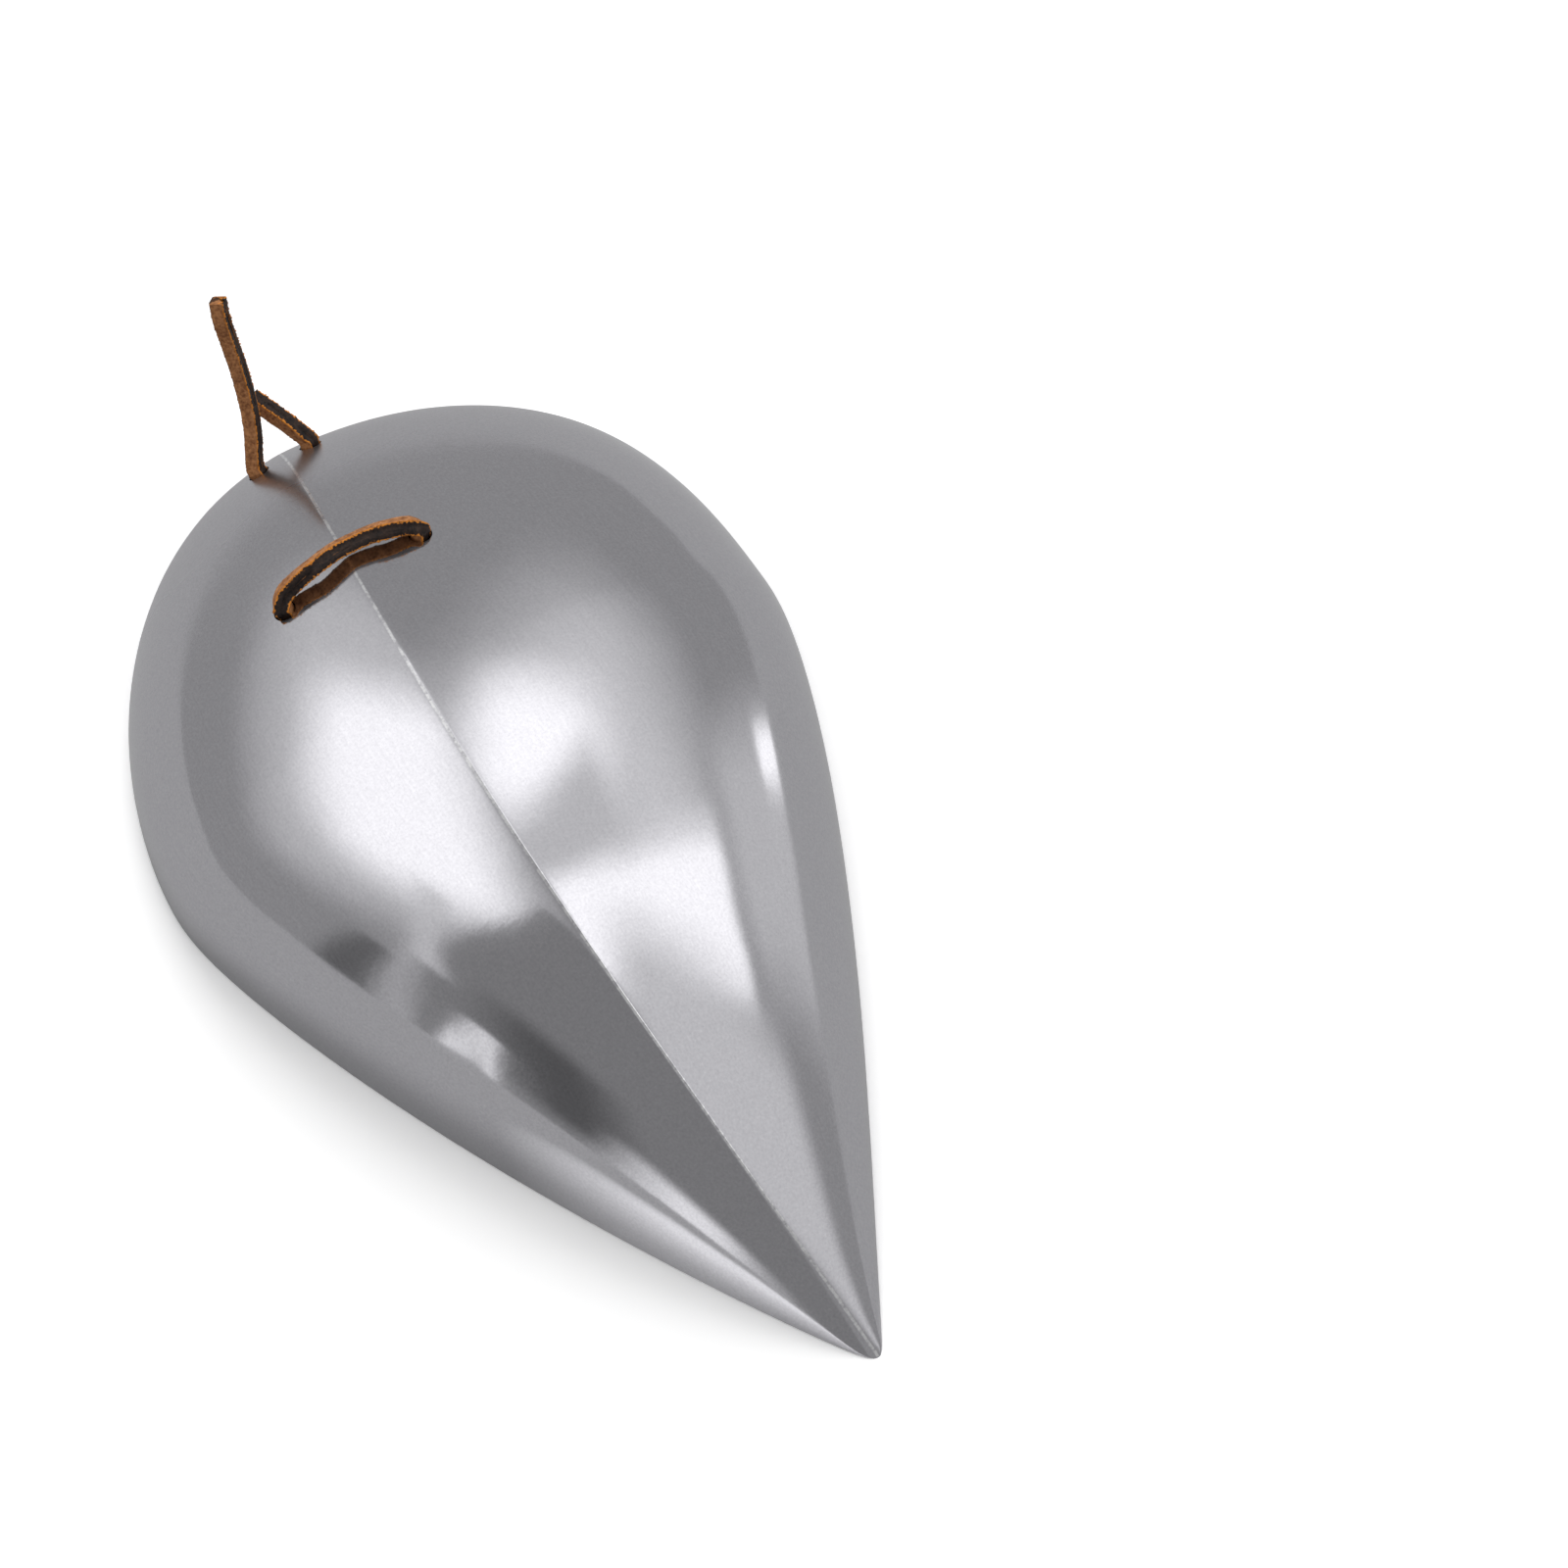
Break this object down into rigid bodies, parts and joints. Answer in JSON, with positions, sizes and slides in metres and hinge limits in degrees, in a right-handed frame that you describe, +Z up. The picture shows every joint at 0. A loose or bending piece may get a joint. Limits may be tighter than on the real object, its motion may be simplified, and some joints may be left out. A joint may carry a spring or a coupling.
{
  "type": "pauldron",
  "caption": "Teardrop steel shoulder guard with a raised median ridge and a leather lace threaded through its round end.",
  "frame": {"origin": "middle of the footprint, on the surface that the rim rests on", "axes": "+Z up out of the dome, +Y towards the round end with the lace, -Y towards the point, +X towards the wider inner half"},
  "size_m": [0.1744, 0.3072, 0.0652],
  "materials": {
    "satin_steel": "satin, finely scratched along the ridge",
    "lace_leather": "dark grain face with raw tan cut edges"
  },
  "bodies": {
    "root": {"pauldron_shell": "satin_steel", "leather_lace": "lace_leather"}
  },
  "joints": []
}
